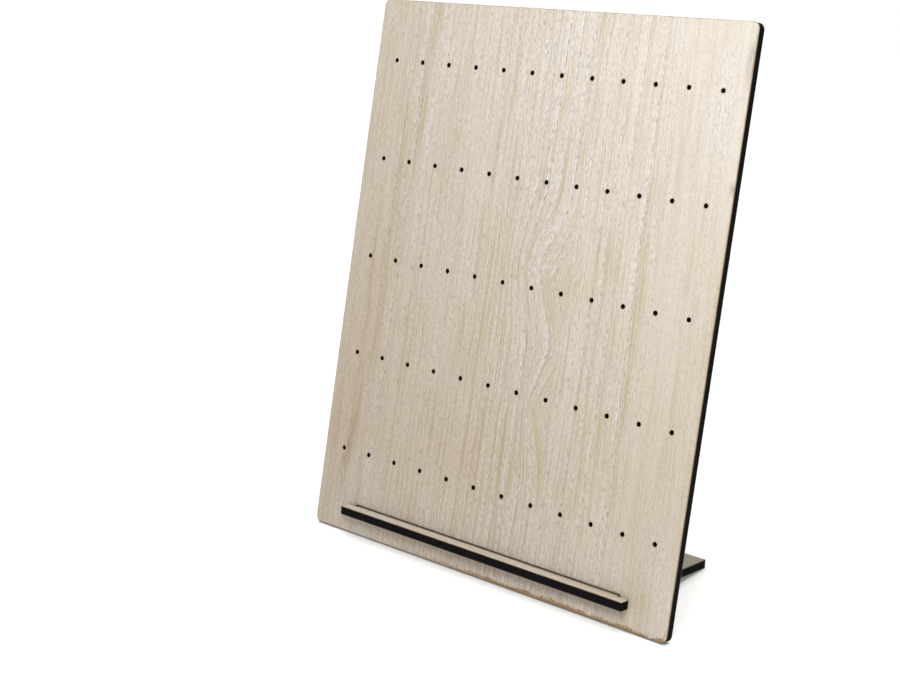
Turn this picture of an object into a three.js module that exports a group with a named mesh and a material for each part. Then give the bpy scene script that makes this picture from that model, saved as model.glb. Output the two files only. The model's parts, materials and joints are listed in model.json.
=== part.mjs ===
// A leaning peg board for earrings and other small jewellery. Millimetres, +Z up, front at -Y.
//
// A rectangular board of veneered sheet leans back, standing on its rear bottom edge. A
// T-shaped plate of the same sheet is pushed through a slot near the bottom of the board: its
// wide head stays in front as a narrow ledge, and its tongue slopes down behind the board
// until its far edge stands on the same surface, as a foot. Each sheet is a dark core with a
// wood veneer glued to both faces.
//
// Both sheets are drawn flat and then turned into place. The board's drawing has X to the
// right, Y up the board from its bottom edge and Z out of its front face. The plate's drawing
// has X to the right, Y towards the rear from its shoulders and Z out of its top face.

import * as THREE from "three";

// The sheet
const SHEET = 4;
const VENEER = 0.5;
const GLUE_LINE = 0.04; // between the core and each veneer

// The board
const BOARD_WIDTH = 200;
const BOARD_HEIGHT = 250;
const BOARD_CORNER = 3;
const LEAN = THREE.MathUtils.degToRad(15); // back from upright

// The peg holes, in rows and columns
const HOLE_COLUMNS = 12;
const HOLE_ROWS = 5;
const COLUMN_PITCH = 16;
const ROW_PITCH = 46;
const HOLE_RADIUS = 1;
const TOP_MARGIN = 28; // from the centres of the top row to the top edge

// The slot through the board
const SLOT_WIDTH = 151;
const SLOT_HEIGHT = 4.8;
const SLOT_CORNER = 1;
const SLOT_BOTTOM = 8.6; // above the bottom edge

// The T-shaped plate
const HEAD_WIDTH = 160;
const HEAD_DEPTH = 4.8;
const TONGUE_WIDTH = 149;
const TONGUE_LENGTH = 68; // from the shoulders to the rear edge

// The play left where the plate bears on the board
const SILL_PLAY = 0.15; // under the plate, at the front edge of the slot's floor
const SHOULDER_PLAY = 0.2; // between the head's shoulders and the board's face

// Every hole and every round corner is drawn with twice this many straight steps.
const ARC_STEPS = 4;

// Finishes. The laser that cuts the sheet chars the core's edges black.
const BOARD_VENEER = { color: 0xd8cbb6, roughness: 0.6, metalness: 0 };
const PLATE_VENEER = { color: 0xd2c2a8, roughness: 0.6, metalness: 0 };
const CHARRED_CORE = { color: 0x1d1c1c, roughness: 0.85, metalness: 0 };

// Draws a closed rectangle with round corners, centred on X, above the height `bottom`.
function roundedRectangle(path, width, height, radius, bottom) {
  const side = width / 2 - radius;
  const low = bottom + radius;
  const high = bottom + height - radius;
  path.absarc(side, low, radius, -Math.PI / 2, 0);
  path.absarc(side, high, radius, 0, Math.PI / 2);
  path.absarc(-side, high, radius, Math.PI / 2, Math.PI);
  path.absarc(-side, low, radius, Math.PI, Math.PI * 1.5);
  path.closePath();
  return path;
}

function pegHole(column, row) {
  const x = (column - (HOLE_COLUMNS - 1) / 2) * COLUMN_PITCH;
  const y = BOARD_HEIGHT - TOP_MARGIN - row * ROW_PITCH;
  return new THREE.Path().absarc(x, y, HOLE_RADIUS, 0, Math.PI * 2);
}

function boardOutline() {
  const outline = roundedRectangle(new THREE.Shape(), BOARD_WIDTH, BOARD_HEIGHT, BOARD_CORNER, 0);
  const slot = new THREE.Path();
  outline.holes.push(roundedRectangle(slot, SLOT_WIDTH, SLOT_HEIGHT, SLOT_CORNER, SLOT_BOTTOM));
  for (let row = 0; row < HOLE_ROWS; row++) {
    for (let column = 0; column < HOLE_COLUMNS; column++) {
      outline.holes.push(pegHole(column, row));
    }
  }
  return outline;
}

function plateOutline() {
  const head = HEAD_WIDTH / 2;
  const tongue = TONGUE_WIDTH / 2;
  return new THREE.Shape([
    new THREE.Vector2(-head, -HEAD_DEPTH),
    new THREE.Vector2(head, -HEAD_DEPTH),
    new THREE.Vector2(head, 0),
    new THREE.Vector2(tongue, 0),
    new THREE.Vector2(tongue, TONGUE_LENGTH),
    new THREE.Vector2(-tongue, TONGUE_LENGTH),
    new THREE.Vector2(-tongue, 0),
    new THREE.Vector2(-head, 0),
  ]);
}

function layer(name, outline, base, thickness, finish) {
  const geometry = new THREE.ExtrudeGeometry(outline, {
    depth: thickness,
    bevelEnabled: false,
    curveSegments: ARC_STEPS,
  });
  const mesh = new THREE.Mesh(geometry, new THREE.MeshStandardMaterial(finish));
  mesh.name = name;
  mesh.position.z = base;
  return mesh;
}

// One veneered sheet of the given outline, from its lower veneer to its upper one.
function veneeredSheet(outline, veneerFinish, lowerName, coreName, upperName) {
  const coreBase = VENEER + GLUE_LINE;
  const sheet = new THREE.Group();
  sheet.add(layer(lowerName, outline, 0, VENEER, veneerFinish));
  sheet.add(layer(coreName, outline, coreBase, SHEET - 2 * coreBase, CHARRED_CORE));
  sheet.add(layer(upperName, outline, SHEET - VENEER, VENEER, veneerFinish));
  return sheet;
}

const board = veneeredSheet(
  boardOutline(),
  BOARD_VENEER,
  "board_back_veneer",
  "board_core",
  "board_front_veneer",
);
board.rotation.x = Math.PI / 2 - LEAN;
board.updateMatrix();

// The plate turns about the lower edge of its shoulders, by the slope that brings the lower
// edge of its far end down to the surface.
const shoulder = new THREE.Vector3(0, SLOT_BOTTOM + SILL_PLAY, SHEET + SHOULDER_PLAY);
shoulder.applyMatrix4(board.matrix);
const plate = veneeredSheet(
  plateOutline(),
  PLATE_VENEER,
  "ledge_foot_bottom_veneer",
  "ledge_foot_core",
  "ledge_foot_top_veneer",
);
plate.position.copy(shoulder);
plate.rotation.x = -Math.asin(shoulder.z / TONGUE_LENGTH);

// The origin is on the surface, under the middle of the whole part.
const part = new THREE.Group();
part.add(board, plate);
const extent = new THREE.Box3().setFromObject(part, true);
part.position.y = -(extent.min.y + extent.max.y) / 2;

export default part;
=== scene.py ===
"""Looks of a leaning peg board for earrings and of the T-shaped plate that is its ledge and foot.

Both are cut from one kind of sheet: a dark core with a pale limed wood veneer on each face. Each
layer is drawn flat, in millimetres, as in the CAD, and then turned into its place in the frame.
The board's drawing has X to the right, Y up the board and Z out of its front. The plate's has X to
the right, Y towards the rear from its shoulders and Z out of its top. Every point keeps its place
in the drawing in the attribute "sheet_mm" and its distance from the nearest cut edge in
"edge_mm", and the materials are worked out from those two.
"""

import json
import math
import random

import bmesh
import bpy
from mathutils import Matrix, Vector


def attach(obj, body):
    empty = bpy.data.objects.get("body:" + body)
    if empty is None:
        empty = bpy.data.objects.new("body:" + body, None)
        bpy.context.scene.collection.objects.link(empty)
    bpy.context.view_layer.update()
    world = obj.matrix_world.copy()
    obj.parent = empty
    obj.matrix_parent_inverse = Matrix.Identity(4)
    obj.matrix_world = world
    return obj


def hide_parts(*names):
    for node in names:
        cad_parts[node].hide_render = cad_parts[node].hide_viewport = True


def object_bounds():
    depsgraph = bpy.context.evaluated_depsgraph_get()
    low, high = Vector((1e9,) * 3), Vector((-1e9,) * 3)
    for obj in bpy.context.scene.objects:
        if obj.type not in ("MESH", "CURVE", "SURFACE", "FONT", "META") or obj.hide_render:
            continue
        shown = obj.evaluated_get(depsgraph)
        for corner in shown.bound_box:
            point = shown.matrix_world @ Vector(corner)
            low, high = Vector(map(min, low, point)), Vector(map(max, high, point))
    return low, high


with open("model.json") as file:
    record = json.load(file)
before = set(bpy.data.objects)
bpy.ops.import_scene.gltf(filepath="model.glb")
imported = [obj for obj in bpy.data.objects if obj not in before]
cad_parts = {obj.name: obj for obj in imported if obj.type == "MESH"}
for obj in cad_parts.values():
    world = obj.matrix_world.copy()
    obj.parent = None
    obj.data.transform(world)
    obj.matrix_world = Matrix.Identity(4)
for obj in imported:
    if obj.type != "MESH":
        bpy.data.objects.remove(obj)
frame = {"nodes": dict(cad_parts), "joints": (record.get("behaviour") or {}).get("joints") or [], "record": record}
cad_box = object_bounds()

MM = 0.001

# ---------------------------------------------------------------- dimensions, in millimetres

SHEET = 4.0
VENEER = 0.5

BOARD_WIDTH = 200.0
BOARD_HEIGHT = 250.0
BOARD_CORNER = 3.0

HOLE_COLUMNS = 12
HOLE_ROWS = 5
COLUMN_PITCH = 16.0
ROW_PITCH = 46.0
HOLE_RADIUS = 1.0
TOP_MARGIN = 28.0

SLOT_WIDTH = 151.0
SLOT_HEIGHT = 4.8
SLOT_CORNER = 1.0
SLOT_BOTTOM = 8.6

HEAD_WIDTH = 160.0
HEAD_DEPTH = 4.8
TONGUE_WIDTH = 149.0
TONGUE_LENGTH = 68.0

# How the cut edges are drawn
POINT_SPACING = 1.0
ARC_STEPS = 10
HOLE_STEPS = 32
EDGE_WAVER = 0.04  # the most that a cut edge strays into the material
WAVE_COUNT = 7  # waves that add up to a cut edge's straying
WAVE_SWINGS = (2, 90)  # swings round one loop, in the slowest wave and in the finest
ARRIS = 0.14  # the rounding between a face and its cut edge
SCORCH_REACH = 2.0  # how far from a cut edge the distance to it is kept
CORE_RECESS = 0.06  # the core burns back further than the veneer
CORE_EASE = 0.4  # how far from its faces the core is recessed in full
CORNER_CLEARANCE = SCORCH_REACH + 0.3  # from a sharp corner to the next point of its sides

# ---------------------------------------------------------------- flat drawings


def straight(start, end):
    """Points from start up to but not including end."""
    steps = max(1, round((end - start).length / POINT_SPACING))
    return [start.lerp(end, i / steps) for i in range(steps)]


def arc(centre, radius, start_degrees, end_degrees, steps):
    """Points along an arc, up to but not including its end."""
    points = []
    for i in range(steps):
        angle = math.radians(start_degrees + (end_degrees - start_degrees) * i / steps)
        points.append(centre + radius * Vector((math.cos(angle), math.sin(angle))))
    return points


def rounded_rectangle(width, height, radius, bottom):
    """An anticlockwise loop, centred on X, above the height bottom."""
    side = width / 2 - radius
    low = bottom + radius
    high = bottom + height - radius
    corners = [(side, low, -90), (side, high, 0), (-side, high, 90), (-side, low, 180)]
    loop = []
    for i, (x, y, start) in enumerate(corners):
        centre = Vector((x, y))
        next_centre = Vector(corners[(i + 1) % len(corners)][:2])
        leave = math.radians(start + 90)
        step = radius * Vector((math.cos(leave), math.sin(leave)))
        loop += arc(centre, radius, start, start + 90, ARC_STEPS)
        loop += straight(centre + step, next_centre + step)
    return loop


def peg_hole(column, row):
    x = (column - (HOLE_COLUMNS - 1) / 2) * COLUMN_PITCH
    y = BOARD_HEIGHT - TOP_MARGIN - row * ROW_PITCH
    return arc(Vector((x, y)), HOLE_RADIUS, 360, 0, HOLE_STEPS)


def board_loops():
    """The board's outline and then its openings, with the material always on the left."""
    outline = rounded_rectangle(BOARD_WIDTH, BOARD_HEIGHT, BOARD_CORNER, 0)
    slot = rounded_rectangle(SLOT_WIDTH, SLOT_HEIGHT, SLOT_CORNER, SLOT_BOTTOM)
    holes = [peg_hole(column, row) for row in range(HOLE_ROWS) for column in range(HOLE_COLUMNS)]
    return [outline, slot[::-1]] + holes


def side_from_corner(start, end):
    """Points from start up to but not including end, with none so near to a sharp corner that the
    rings inside the outline would cross themselves there."""
    reach = (end - start).normalized() * CORNER_CLEARANCE
    if (end - start).length < 2 * CORNER_CLEARANCE:
        return [start]
    return [start] + straight(start + reach, end - reach) + [end - reach]


def plate_loops():
    head = HEAD_WIDTH / 2
    tongue = TONGUE_WIDTH / 2
    corners = [
        (-head, -HEAD_DEPTH),
        (head, -HEAD_DEPTH),
        (head, 0),
        (tongue, 0),
        (tongue, TONGUE_LENGTH),
        (-tongue, TONGUE_LENGTH),
        (-tongue, 0),
        (-head, 0),
    ]
    outline = []
    for i, corner in enumerate(corners):
        outline += side_from_corner(Vector(corner), Vector(corners[(i + 1) % len(corners)]))
    return [outline]


def mitres(loop):
    """For each point, the step into the material that moves both of its sides by 1."""
    steps = []
    for i, here in enumerate(loop):
        before = (here - loop[i - 1]).normalized()
        after = (loop[(i + 1) % len(loop)] - here).normalized()
        both = before + after
        steps.append(Vector((-both.y, both.x)) / (1 + before.dot(after)))
    return steps


def wavering(loop, seed):
    """The loop as a laser really cuts it: straying a little into the material, slowly and finely."""
    chance = random.Random(seed)
    waves = []
    for _ in range(WAVE_COUNT):
        swings = chance.randint(*WAVE_SWINGS)
        waves.append((swings, chance.uniform(0, math.tau)))
    moved = []
    for i, (point, step) in enumerate(zip(loop, mitres(loop))):
        turn = math.tau * i / len(loop)
        swing = sum(math.sin(turn * swings + phase) for swings, phase in waves) / WAVE_COUNT
        moved.append(point + step * EDGE_WAVER * (0.5 + 0.5 * swing))
    return moved


# ---------------------------------------------------------------- meshes


def veneer_sections(base, face_is_up):
    """(inset, height) of a veneer's rings, from its lower face to its upper one."""
    side = [(0, VENEER), (0, ARRIS)]
    rounding = [(ARRIS * 0.3, ARRIS * 0.3), (ARRIS, 0)]
    face = [(ARRIS * 4, 0), (SCORCH_REACH, 0)]
    depths = side + rounding + face  # (inset, depth below the outer face)
    if face_is_up:
        return [(inset, base + VENEER - depth) for inset, depth in depths]
    return [(inset, base + depth) for inset, depth in reversed(depths)]


def core_sections():
    """(inset, height) of a core's rings, from its lower face to its upper one."""
    low = VENEER
    high = SHEET - VENEER
    shallow = CORE_RECESS * 0.5
    return [
        (shallow, low),
        (CORE_RECESS, low + CORE_EASE),
        (CORE_RECESS, high - CORE_EASE),
        (shallow, high),
    ]


def add_ring(bm, loop, inset, height, sheet_layer, edge_layer):
    """The loop's points at a height, moved into the material by the inset."""
    ring = []
    for point, step in zip(loop, mitres(loop)):
        flat = point + step * inset
        vert = bm.verts.new((flat.x, flat.y, height))
        vert[sheet_layer] = vert.co
        vert[edge_layer] = inset
        ring.append(vert)
    return ring


def close_face(bm, rings):
    """Fills the space between an outline's ring and the rings of its openings."""
    edges = []
    for ring in rings:
        for i, vert in enumerate(ring):
            edge = bm.edges.get((ring[i - 1], vert))
            edge.smooth = False
            edges.append(edge)
    bmesh.ops.triangle_fill(bm, use_beauty=True, edges=edges)


def build_layer(name, loops, sections, place):
    """A closed layer. Its sections are rings at (inset, height), from the bottom up."""
    bm = bmesh.new()
    sheet_layer = bm.verts.layers.float_vector.new("sheet_mm")
    edge_layer = bm.verts.layers.float.new("edge_mm")
    stacks = []
    for seed, loop in enumerate(loops):
        line = wavering(loop, seed)
        stack = [
            add_ring(bm, line, inset, height, sheet_layer, edge_layer)
            for inset, height in sections
        ]
        for below, above in zip(stack, stack[1:]):
            for i in range(len(loop)):
                quad = (below[i - 1], below[i], above[i], above[i - 1])
                bm.faces.new(quad).smooth = True
        stacks.append(stack)
    close_face(bm, [stack[0] for stack in stacks])
    close_face(bm, [stack[-1] for stack in stacks])
    bmesh.ops.recalc_face_normals(bm, faces=bm.faces)
    mesh = bpy.data.meshes.new(name)
    bm.to_mesh(mesh)
    bm.free()
    mesh.transform(place)
    piece = bpy.data.objects.new(name, mesh)
    bpy.context.scene.collection.objects.link(piece)
    return piece


# ---------------------------------------------------------------- places in the frame


def drawing_place(node, up, out):
    """Turns a flat drawing into place. Its Y runs along up and its Z along out, and the lowest
    corner of the CAD node is the drawing's lowest point."""
    right = up.cross(out)
    points = [vert.co for vert in frame["nodes"][node].data.vertices]
    low_up = min(point.dot(up) for point in points)
    low_out = min(point.dot(out) for point in points)
    origin = up * low_up + out * low_out
    place = Matrix((right, up, out)).transposed().to_4x4()
    return Matrix.Translation(origin) @ place @ Matrix.Diagonal((MM, MM, MM, 1))


def board_place():
    mounts = {mount["name"]: mount for mount in frame["record"]["mounts"]}
    out = Vector(mounts["display_face"]["axis"]).normalized()
    return drawing_place("board_back_veneer", out.cross(Vector((1, 0, 0))), out)


def plate_place():
    rearward = -Vector(frame["joints"][0]["axis"]).normalized()
    top = Vector((1, 0, 0)).cross(rearward)
    place = drawing_place("ledge_foot_bottom_veneer", rearward, top)
    return place @ Matrix.Translation((0, HEAD_DEPTH, 0))


# ---------------------------------------------------------------- shader fields


class Field:
    """A number that varies over a surface. Arithmetic on it adds shader nodes to its material."""

    def __init__(self, tree, socket):
        self.tree = tree
        self.socket = socket

    def math(self, operation, *others):
        inputs = dict(enumerate((self, *others)))
        return Field(self.tree, add_node(self.tree, "Math", inputs, operation=operation).outputs[0])

    def __add__(self, other):
        return self.math("ADD", other)

    def __sub__(self, other):
        return self.math("SUBTRACT", other)

    def __mul__(self, other):
        return self.math("MULTIPLY", other)

    def __truediv__(self, other):
        return self.math("DIVIDE", other)

    def __pow__(self, other):
        return self.math("POWER", other)

    def fade(self, start, end):
        """0 at start, 1 at end, and smooth between them. End may be below start."""
        inputs = {0: self, 1: start, 2: end}
        node = add_node(self.tree, "MapRange", inputs, interpolation_type="SMOOTHSTEP")
        return Field(self.tree, node.outputs[0])

    def near(self, centre, reach):
        """1 at centre, falling smoothly to 0 at reach from it on both sides."""
        return (self - centre).math("ABSOLUTE").fade(reach, 0.0)

    def inverse(self):
        return self * -1.0 + 1.0

    def clamped(self):
        return self.math("MAXIMUM", 0.0).math("MINIMUM", 1.0)


def add_node(tree, kind, inputs, **settings):
    """Adds a shader node. Inputs are a socket's number or name, and a Field or a plain value."""
    node = tree.nodes.new("ShaderNode" + kind)
    for key, value in settings.items():
        setattr(node, key, value)
    for socket, value in inputs.items():
        if isinstance(value, Field):
            tree.links.new(value.socket, node.inputs[socket])
        else:
            node.inputs[socket].default_value = value
    return node


def noise_at(x, y, z, detail):
    """Noise from 0 to 1, in cells of about 1. X and Y are Fields, and Z may be a plain number."""
    place = add_node(x.tree, "CombineXYZ", {0: x, 1: y, 2: z})
    inputs = {"Vector": Field(x.tree, place.outputs[0]), "Scale": 1.0, "Detail": detail}
    return Field(x.tree, add_node(x.tree, "TexNoise", inputs).outputs[0])


def noise(across, along, width, length, seed, detail=2.0):
    """Noise from 0 to 1 in cells of about that width and length, in millimetres."""
    return noise_at(across / width, along / length, float(seed), detail)


def mix(share, first, second):
    """A colour share of the way from the first to the second. Each is a Field or a colour."""
    inputs = {0: share, 6: first, 7: second}
    node = add_node(share.tree, "Mix", inputs, data_type="RGBA")
    return Field(share.tree, node.outputs[2])


def colour(hex_code):
    """A colour for a shader, from its usual six-digit code."""
    channels = [int(hex_code[i : i + 2], 16) / 255 for i in (0, 2, 4)]
    linear = [c / 12.92 if c <= 0.04045 else ((c + 0.055) / 1.055) ** 2.4 for c in channels]
    return (*linear, 1.0)


def new_material(name):
    material = bpy.data.materials.new(name)
    material.use_nodes = True
    return material, material.node_tree, material.node_tree.nodes["Principled BSDF"]


def drawing_fields(tree):
    """X, Y and Z in the flat drawing, and the distance from the nearest cut edge."""
    place = tree.nodes.new("ShaderNodeAttribute")
    place.attribute_name = "sheet_mm"
    split = add_node(tree, "SeparateXYZ", {0: Field(tree, place.outputs["Vector"])})
    edge = tree.nodes.new("ShaderNodeAttribute")
    edge.attribute_name = "edge_mm"
    axes = [Field(tree, socket) for socket in split.outputs]
    return (*axes, Field(tree, edge.outputs["Fac"]))


def set_bump(tree, shader, height, depth):
    """Depth is how far, in metres, the surface rises where height goes from 0 to 1."""
    bump = add_node(tree, "Bump", {"Height": height, "Distance": depth, "Strength": 1.0})
    tree.links.new(bump.outputs[0], shader.inputs["Normal"])


# ---------------------------------------------------------------- the wood's figure

# Where one growth ring ends and the next begins, from left to right across the board
RING_LINES = (
    [-110, -94, -86, -78, -69, -60]
    + [-60 + 3.2 * i for i in range(1, 13)]
    + [-17, -14, -11, -8, -4.5, -0.5, 4, 10, 16.5, 23.5, 33, 42]
)
# The same to the right of the break, shifted by BREAK_SHIFT so that the two don't overlap
BREAK_X = 27.0
BREAK_SHIFT = 20.0
RIGHT_RING_LINES = [27.2, 30.7, 34.8, 40, 44.2, 50, 58.4, 66, 78, 90, 110]
RING_SPAN = (-110.0, 130.0)  # from the first line to the last one after the shift

# How high up the board's front the two knots are
UPPER_KNOT = 140.5
LOWER_KNOT = 80.0


class Figure:
    """What the wood's figure is at each point of a veneer."""

    def __init__(self, position, count, contrast, tan, lime):
        self.position = position  # across the rings, in millimetres, following their bends
        self.count = count  # of rings up to here, in whole rings and parts of one
        self.contrast = contrast  # between the porous and the smooth part of a ring
        self.tan = tan  # share of tan where the wood is darker than the rings make it
        self.lime = lime  # share of white where more lime stays in the pores


def ring_count(position):
    """How many growth rings lie to the left of a position on the board's front."""
    lines = RING_LINES + [line + BREAK_SHIFT for line in RIGHT_RING_LINES]
    start, end = RING_SPAN
    inputs = {"Value": (position - start) / (end - start), "Factor": 1.0}
    curve = add_node(position.tree, "FloatCurve", inputs)
    points = curve.mapping.curves[0].points
    last = len(lines) - 1
    points[0].location = (0, 0)
    points[1].location = (1, 1)
    for i, line in enumerate(lines[1:-1], start=1):
        points.new((line - start) / (end - start), i / last)
    for point in points:
        point.handle_type = "VECTOR"
    curve.mapping.update()
    return Field(position.tree, curve.outputs[0]) * float(last)


def knot_pull(up, height, above, below):
    """1 at a knot's height, falling from a narrow crest to 0 this far above and below it."""
    blunt = 1.5
    distance = (((up - height) ** 2.0) + blunt**2).math("SQRT") - blunt
    reach = (up - height).math("SIGN") * ((above - below) / 2) + (above + below) / 2
    return (distance / reach).math("MINIMUM", 1.0).inverse() ** 1.4


def board_front_figure(x, up):
    """Straight rings, which swing to the left into two small knots beside a straight break."""
    below_top = up * -1.0 + BOARD_HEIGHT
    wander = (noise(x, up, 45, 150, 1) - 0.5) * 3.0 + (noise(x, up, 9, 22, 2) - 0.5) * 1.2
    upper = knot_pull(up + x * 0.15, UPPER_KNOT, 34, 34)
    lower = knot_pull(up, LOWER_KNOT, 30, 28)
    swing = x.fade(-15, 16) * 13.0 * upper + x.fade(9, 16) * 9.0 * lower
    swing = swing + (noise(x, up, 5, 5, 3) - 0.5) * 3.5 * (upper + lower * 0.6) * x.near(8, 20)
    left = x.math("LESS_THAN", BREAK_X)
    right = left.inverse()
    position = x + wander + swing * left - below_top * x.fade(48, 70) * 0.03
    count = ring_count(position + right * BREAK_SHIFT)
    wedge = position.fade(24, 28) * left
    contrast = x.fade(76, 60) * (x.fade(-88, -80) * 0.6 + 0.4) * (wedge * -0.5 + 1.0)
    contrast = contrast * (x.near(10, 28) * 0.8 + 0.65) + 0.1
    leaning = x + wander + below_top * 0.08
    tan = board_front_tan(x, up, position, leaning) + position.near(39.6, 1.2) * right + wedge * 0.5
    return Figure(position, count, contrast, tan, board_front_lime(x, up, leaning))


def board_front_tan(x, up, position, leaning):
    """Tan bands and lines, the flecks left of the upper knot, and a darker middle."""
    bands = x.near(-79.5, 4.5) * up.fade(60, 110) * 0.8 + x.near(-86, 2.5) * up.near(110, 80) * 0.5
    bands = bands + leaning.near(-65, 7) * up.fade(50, 100) * 0.5 + position.near(62, 6) * 0.5
    line = position.near(-16.5, 2.5) * 0.7
    flecks = noise(position, up, 0.8, 6, 4).fade(0.48, 0.62) * up.near(138, 11) * x.near(0, 12)
    middle = position.near(0, 30) * up.fade(250, 120)
    return bands + line + flecks * 0.9 + middle * 0.75


def board_front_lime(x, up, leaning):
    """Lime along the right edge, in three bands at the left, and in the curl of the upper knot."""
    right_edge = x.near(89, 11) * (up.near(213, 38) + up.near(33, 26) * 0.9)
    bands = x.near(-73, 6) + leaning.near(-58.5, 5) + x.near(-92, 4)
    curl = x.near(13, 10) * up.near(139, 5) * 0.9 + x.near(16, 14) * up.near(150, 16) * 0.35
    return right_edge + bands * 0.3 + curl


def plain_figure(across, along, strength, seed):
    """Straight, slowly wandering rings of uneven width. Strength is how clearly they show."""
    wander = (noise(across, along, 60, 200, seed) - 0.5) * 14.0
    position = across + wander + (noise(across, along, 10, 30, seed + 0.5) - 0.5) * 1.0
    count = position / 4.6 + noise(position, along, 9, 900, seed + 1) * 2.0
    contrast = noise(position, along, 25, 400, seed + 2).fade(0.3, 0.65) * strength + 0.1
    tan = noise(position, along, 12, 300, seed + 3).fade(0.5, 0.75) * strength
    lime = noise(position, along, 16, 90, seed + 4).fade(0.55, 0.75) * strength * 0.5
    return Figure(position, count, contrast, tan, lime)


# ---------------------------------------------------------------- materials

# The veneer
PALE = colour("CDC4B7")
TAN = colour("B4A78E")
LIME = colour("DBD6D4")  # what the liming leaves in the pores
PORE = colour("908A85")
# Painted shade: the browner, darker tone towards the bottom left, away from the key light
PAINTED_SHADE_BROWN = colour("8A704A")
SMOKE = colour("8E8276")
# Painted shadow: of the board over the plate's foot, and of the ledge on the board below it
PAINTED_SHADOW = colour("6E6358")
SCORCH = colour("8C6C3C")
# Char on the cut sides, and the painted shade in the slot on the plate
CHAR_AND_SLOT_SHADE = colour("1B1917")
VENEER_RELIEF = 0.06 * MM

# The core's cut edge, in the beam's marks, between them and where bare fibre shows
MARK = colour("0A0A0A")
BETWEEN_MARKS = colour("171617")
FIBRE = colour("2A2522")
CORE_RELIEF = 0.12 * MM

# The floor is a lit table, which stays pale in the board's shade.
FLOOR = colour("F8F8F7")
FLOOR_GLOW = 0.1


def wood_colour(figure, along, seed):
    """The veneer's colour before any burning, how hollow its pores are, and its relief."""
    position = figure.position
    phase = figure.count.math("FRACT")
    ring = figure.count.math("FLOOR") * 0.37
    strength = figure.contrast * (noise(ring, ring, 1, 1, seed) * 1.4 + 0.3)
    # The wood of a ring is smooth and tan, then porous and limed, and ends in a dark line.
    smooth = phase.fade(0.6, 0.0) * strength
    limed = phase.fade(0.4, 0.85) * strength
    ring_end = phase.fade(0.87, 0.97) * strength
    # Pores lie in long rows. Some are filled with lime and the others are hollow.
    rows = noise(position, along, 0.7, 40, seed + 0.1, 1.0).fade(0.4, 0.6)
    rows = rows * (figure.contrast * 0.7 + 0.5)
    pores = noise(position, along, 0.27, 2.4, seed + 0.2)
    porous = (limed * 0.5 + ring_end * 0.7 + figure.lime * 0.6 + rows * 0.45 + 0.1).clamped()
    filled = pores.fade(0.5, 0.64) * porous * 0.54
    hollow = pores.fade(0.48, 0.36) * porous
    # The tan comes and goes in clouds, stripes, thin lines and a fine mottle.
    clouds = noise(position, along, 9, 110, seed + 0.5) - 0.5
    stripes = noise(position, along, 2.6, 130, seed + 0.4, 1.0) - 0.5
    lines = noise(position, along, 0.45, 13, seed + 0.3, 1.0) - 0.5
    mottle = noise(position, along, 0.5, 1.4, seed + 0.6, 1.0) - 0.5
    tan_share = smooth * 0.26 + figure.tan * 0.5 + stripes * 0.7 + clouds * 1.2
    tan_share = tan_share + lines * (figure.contrast * 0.9 + 0.4) + mottle * 1.4
    tan_share = tan_share - rows * 0.4 + 0.42
    lime_share = limed * 0.2 + figure.lime * 0.2 + rows * 0.2
    shade = mix(tan_share.clamped(), PALE, TAN)
    shade = mix((lime_share + filled).clamped(), shade, LIME)
    shade = mix(hollow * 0.72 + ring_end * 0.2, shade, PORE)
    relief = hollow * -0.7 + lines * 0.3
    return shade, hollow, relief


def burn_dirt_or_shade(shade, share, burn):
    """The shade with that share of a scorched, dirty or painted-shade colour mixed in, however the share adds up.
    """
    return mix(share.clamped(), shade, burn)


def finish_veneer(shader, fields, wood, depth, seed):
    """Browns the veneer along its cut edges, chars its sides and joins it all to the shader. Depth
    is how far a point is below the veneer's outer face."""
    shade, hollow, relief = wood
    x, y, _, edge = fields
    tree = x.tree
    patches = noise(x, y, 5, 5, seed + 11, 3.0)
    specks = noise(x, y, 0.7, 0.7, seed + 12)
    rim = (edge + (specks - 0.5) * 0.5).fade(0.55, 0.0) * patches.fade(0.35, 0.6)
    shade = burn_dirt_or_shade(shade, rim * 0.75, SCORCH)
    shade = burn_dirt_or_shade(shade, depth.fade(0.02, 0.06) * 0.7, SCORCH)
    shade = burn_dirt_or_shade(shade, (depth + (specks - 0.5) * 0.05).fade(0.05, 0.12), CHAR_AND_SLOT_SHADE)
    roughness = hollow * 0.15 + (patches - 0.5) * 0.12 + 0.6
    tree.links.new(shade.socket, shader.inputs["Base Color"])
    tree.links.new(roughness.socket, shader.inputs["Roughness"])
    shader.inputs["Specular IOR Level"].default_value = 0.35
    set_bump(tree, shader, relief + specks * 0.12, VENEER_RELIEF)


def board_front_material():
    material, tree, shader = new_material("board_front_veneer")
    fields = drawing_fields(tree)
    x, y, z, edge = fields
    shade, hollow, relief = wood_colour(board_front_figure(x, y), y, seed=30)
    shade = board_marks(shade, x, y, edge)
    finish_veneer(shader, fields, (shade, hollow, relief), z * -1.0 + SHEET, seed=30)
    return material


def board_back_material():
    material, tree, shader = new_material("board_back_veneer")
    fields = drawing_fields(tree)
    x, y, z, _ = fields
    wood = wood_colour(plain_figure(x, y, strength=0.8, seed=21), y, seed=20)
    finish_veneer(shader, fields, wood, z, seed=20)
    return material


def plate_material(name, face_is_up, seed):
    """The grain runs along X. Painted shade makes the plate darker than the board, most of all at the foot, which
    stands in the board's shadow, and a painted dark band stands for the shade in the slot where the tongue passes
    through it."""
    material, tree, shader = new_material(name)
    fields = drawing_fields(tree)
    x, y, z, _ = fields
    shade, hollow, relief = wood_colour(plain_figure(y, x, 0.4, seed + 1), x, seed)
    # Painted shade: a little over the whole plate, and most over the foot, which stands in the board's shadow
    shade = mix(y.fade(0, 15) * 0.58 + 0.12, shade, PAINTED_SHADOW)
    # Painted shade in the slot: a dark band where the tongue passes through it
    shade = burn_dirt_or_shade(shade, y.near(2.4, 3.2) * 0.75, CHAR_AND_SLOT_SHADE)
    depth = z * -1.0 + SHEET if face_is_up else z
    finish_veneer(shader, fields, (shade, hollow, relief), depth, seed)
    return material


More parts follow.
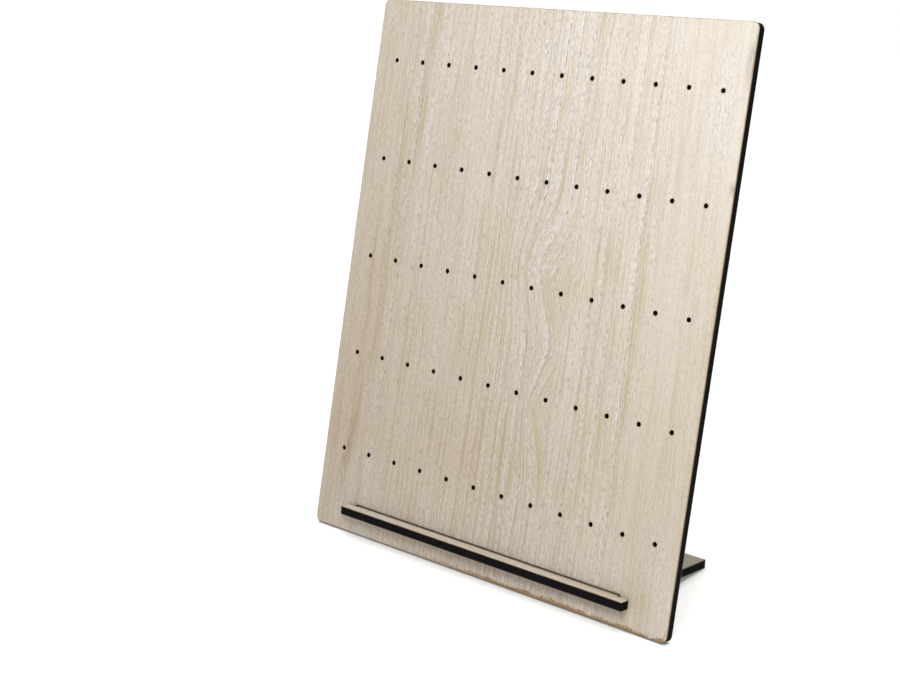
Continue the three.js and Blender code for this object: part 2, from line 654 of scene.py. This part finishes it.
def board_marks(shade, x, y, edge):
    """The front's painted shade, darker and browner towards the bottom left, its painted highlight towards the top
    right, its soot, the painted shadow under the ledge and its scorching."""
    streaky = noise(x, y, 0.8, 6, 13, 3.0)
    patches = noise(x, y, 6, 6, 14)
    specks = noise(x, y, 0.6, 0.9, 15)
    shade = burn_dirt_or_shade(shade, soot_share(x, y, streaky), SMOKE)
    # Painted shade: darker and browner towards the bottom left, where the key light falls off
    toward_key_light = (x / BOARD_WIDTH + 0.5) * 0.4 + y / BOARD_HEIGHT * 0.6
    shade = burn_dirt_or_shade(shade, toward_key_light.inverse() * (y.fade(0, 55) * 0.2 + 0.3), PAINTED_SHADE_BROWN)
    # Painted highlight: paler and whiter towards the top right, nearest the key light
    shade = mix(x.fade(10, 100) * y.fade(140, BOARD_HEIGHT) * 0.24, shade, LIME)
    # Painted shadow under the ledge, broken into streaks
    ledge_shadow = y.fade(0.5, 8.5) * y.fade(SLOT_BOTTOM + 0.9, SLOT_BOTTOM + 0.1)
    ledge_shadow = ledge_shadow * x.fade(-80, 30) * x.fade(84, 72)
    shade = burn_dirt_or_shade(shade, ledge_shadow * (streaky.fade(0.3, 0.7) * 0.4 + 0.15), PAINTED_SHADOW)
    return burn_dirt_or_shade(shade, scorch_share(x, y, edge, patches, specks), SCORCH)


def soot_share(x, y, streaky):
    """Soot by the right edge, near the top and lower down, and smeared at the bottom left."""
    top = x.near(99.5, 4.5) * y.near(235, 18) * streaky.fade(0.3, 0.55)
    lower = x.near(99, 2.5) * y.near(184, 4)
    smear = (x - y * 0.1).near(-89.5, 4) * y.near(36, 30) * streaky.fade(0.3, 0.6)
    return top + lower * 0.7 + smear * 0.7


def scorch_share(x, y, edge, patches, specks):
    """Scorching along the bottom, over the slot, at the bottom right corner and down the right."""
    flame = (y - specks * 5.0 - patches * 3.0 + 3.1 - x.near(35, 40) * 0.5).fade(0.4, 0.0)
    flame = flame + specks.fade(0.6, 0.68) * y.fade(4.5, 0.5) * 0.5
    bottom = flame * x.fade(-60, 10)
    over_slot = y.near(SLOT_BOTTOM + SLOT_HEIGHT + 0.2, 0.9) * specks.fade(0.35, 0.6)
    over_slot = over_slot * x.math("ABSOLUTE").fade(SLOT_WIDTH / 2 + 0.5, SLOT_WIDTH / 2 - 0.5)
    corner = edge.near(1.2, 0.4) * x.fade(94, 97) * y.fade(6, 2.5)
    right_side = x.fade(99.2, 99.8)
    return bottom * 0.9 + over_slot * 0.7 + corner * 0.7 + right_side * 0.6


def core_material(name):
    """Fibreboard, charred black by the laser, with the beam's upright marks down the cut."""
    material, tree, shader = new_material(name)
    x, y, z, _ = drawing_fields(tree)
    marks = noise_at(x / 0.45, y / 0.45, z / 7.0, 3.0)
    grit = noise_at(x / 0.25, y / 0.25, z / 0.12, 2.0)
    middle = z.near(SHEET / 2, 1.3) * grit.fade(0.35, 0.7)
    shade = mix(marks.fade(0.3, 0.75), MARK, BETWEEN_MARKS)
    shade = mix(middle * 0.35, shade, FIBRE)
    tree.links.new(shade.socket, shader.inputs["Base Color"])
    tree.links.new((marks * 0.25 + 0.62).socket, shader.inputs["Roughness"])
    shader.inputs["Specular IOR Level"].default_value = 0.02
    set_bump(tree, shader, marks + grit * 0.5, CORE_RELIEF)
    return material


def floor_material():
    material, _, shader = new_material("studio_floor")
    shader.inputs["Base Color"].default_value = FLOOR
    shader.inputs["Emission Color"].default_value = (1.0, 1.0, 1.0, 1.0)
    shader.inputs["Emission Strength"].default_value = FLOOR_GLOW
    shader.inputs["Roughness"].default_value = 0.9
    shader.inputs["Specular IOR Level"].default_value = 0.1
    return material


# ---------------------------------------------------------------- the pieces


def dress(piece, material, body):
    """Paints a piece and puts it in the place of the CAD node that it is named after."""
    piece.data.materials.append(material)
    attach(piece, body)
    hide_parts(piece.name.removesuffix("_look"))


def make_sheet(loops, place, body, names, materials, slots):
    """The lower veneer, the core and the upper veneer of one sheet."""
    sections = [
        veneer_sections(0, face_is_up=False),
        core_sections(),
        veneer_sections(SHEET - VENEER, face_is_up=True),
    ]
    for name, rings, material, slot in zip(names, sections, materials, slots):
        dress(build_layer(name + "_look", loops, rings, place), material, body)


def make_board():
    materials = [
        board_back_material(),
        core_material("board_core"),
        board_front_material(),
    ]
    make_sheet(
        board_loops(),
        board_place(),
        "board",
        ["board_back_veneer", "board_core", "board_front_veneer"],
        materials,
        ["board_veneer", "board_core", "board_veneer"],
    )


def make_plate():
    materials = [
        plate_material("ledge_foot_bottom_veneer", face_is_up=False, seed=40),
        core_material("ledge_foot_core"),
        plate_material("ledge_foot_top_veneer", face_is_up=True, seed=50),
    ]
    make_sheet(
        plate_loops(),
        plate_place(),
        "ledge_foot",
        ["ledge_foot_bottom_veneer", "ledge_foot_core", "ledge_foot_top_veneer"],
        materials,
        ["ledge_foot_veneer", "ledge_foot_core", "ledge_foot_veneer"],
    )


# ---------------------------------------------------------------- stage, lights and camera

FLOOR_SIDE = 12.0  # metres


def make_floor():
    bm = bmesh.new()
    bmesh.ops.create_grid(bm, x_segments=4, y_segments=4, size=FLOOR_SIDE / 2)
    mesh = bpy.data.meshes.new("studio_floor")
    bm.to_mesh(mesh)
    bm.free()
    floor = bpy.data.objects.new("studio_floor", mesh)
    floor.location.z = cad_box[0].z
    floor.data.materials.append(floor_material())
    bpy.context.scene.collection.objects.link(floor)


# A broad light from above and a little behind keeps the floor pale, and a near softbox above the
# front right makes the board brightest at its top right corner. Places and sizes are in metres.
WORLD_STRENGTH = 0.28
OVERHEAD_FROM = (0.0, 0.36, 1.0)
OVERHEAD_SOFTNESS = math.radians(60)
OVERHEAD_STRENGTH = 2.4
KEY_PLACE = (0.15, -0.35, 0.50)
KEY_SIDE = 0.25
KEY_POWER = 2.24  # watts


def add_lamp(name, light, place, target):
    """Adds a light at a place, aimed at its target."""
    lamp = bpy.data.objects.new(name, light)
    lamp.location = place
    lamp.rotation_euler = (Vector(target) - Vector(place)).to_track_quat("-Z", "Y").to_euler()
    bpy.context.scene.collection.objects.link(lamp)
    return lamp


def make_area_light(name, place, target, side, power):
    light = bpy.data.lights.new(name, "AREA")
    light.shape = "SQUARE"
    light.size = side
    light.energy = power
    add_lamp(name, light, place, target).visible_camera = False


def make_soft_sun(name, place, softness, strength):
    """A light from far away, aimed from its place at the frame's origin."""
    light = bpy.data.lights.new(name, "SUN")
    light.angle = softness
    light.energy = strength
    add_lamp(name, light, place, (0, 0, 0))


def make_backdrop():
    """An even white all round. The camera sees it as pale as the floor, and it lights the
    object less than it looks."""
    world = bpy.data.worlds.new("studio")
    world.use_nodes = True
    tree = world.node_tree
    background = tree.nodes["Background"]
    background.inputs["Color"].default_value = (1.0, 1.0, 1.0, 1.0)
    seen = Field(tree, tree.nodes.new("ShaderNodeLightPath").outputs["Is Camera Ray"])
    strength = seen * (1.0 - WORLD_STRENGTH) + WORLD_STRENGTH
    tree.links.new(strength.socket, background.inputs["Strength"])
    bpy.context.scene.world = world


def make_lights():
    middle = (cad_box[0] + cad_box[1]) / 2
    make_area_light("key_light", KEY_PLACE, middle, KEY_SIDE, KEY_POWER)
    make_soft_sun("overhead_light", OVERHEAD_FROM, OVERHEAD_SOFTNESS, OVERHEAD_STRENGTH)


# The camera looks from the board's front right, a little down, at a point of its front face.
# Angles are in degrees, the distance and the point in metres, and the sensor and lens in mm.
CAMERA_AZIMUTH = 41.51
CAMERA_ELEVATION = 15.54
CAMERA_ROLL = -1.938
CAMERA_DISTANCE = 0.7211
CAMERA_AIM = (-0.0386, 0.0002, 0.1273)
CAMERA_SENSOR = 36.0
CAMERA_LENS = 64.09
CAMERA_SHIFT_Y = -0.075


def make_camera():
    data = bpy.data.cameras.new("camera")
    data.sensor_width = CAMERA_SENSOR
    data.lens = CAMERA_LENS
    data.shift_y = CAMERA_SHIFT_Y
    azimuth = math.radians(CAMERA_AZIMUTH)
    elevation = math.radians(CAMERA_ELEVATION)
    right = math.sin(azimuth) * math.cos(elevation)
    front = math.cos(azimuth) * math.cos(elevation)
    back = Vector((right, -front, math.sin(elevation)))
    turn = (-back).to_track_quat("-Z", "Y").to_matrix()
    roll = Matrix.Rotation(math.radians(CAMERA_ROLL), 3, "Z")
    camera = bpy.data.objects.new("camera", data)
    camera.location = Vector(CAMERA_AIM) + back * CAMERA_DISTANCE
    camera.rotation_euler = (turn @ roll).to_euler()
    bpy.context.scene.collection.objects.link(camera)
    bpy.context.scene.camera = camera


make_board()
make_plate()
make_floor()
make_backdrop()
make_lights()
make_camera()
bpy.context.scene.view_settings.view_transform = "Standard"
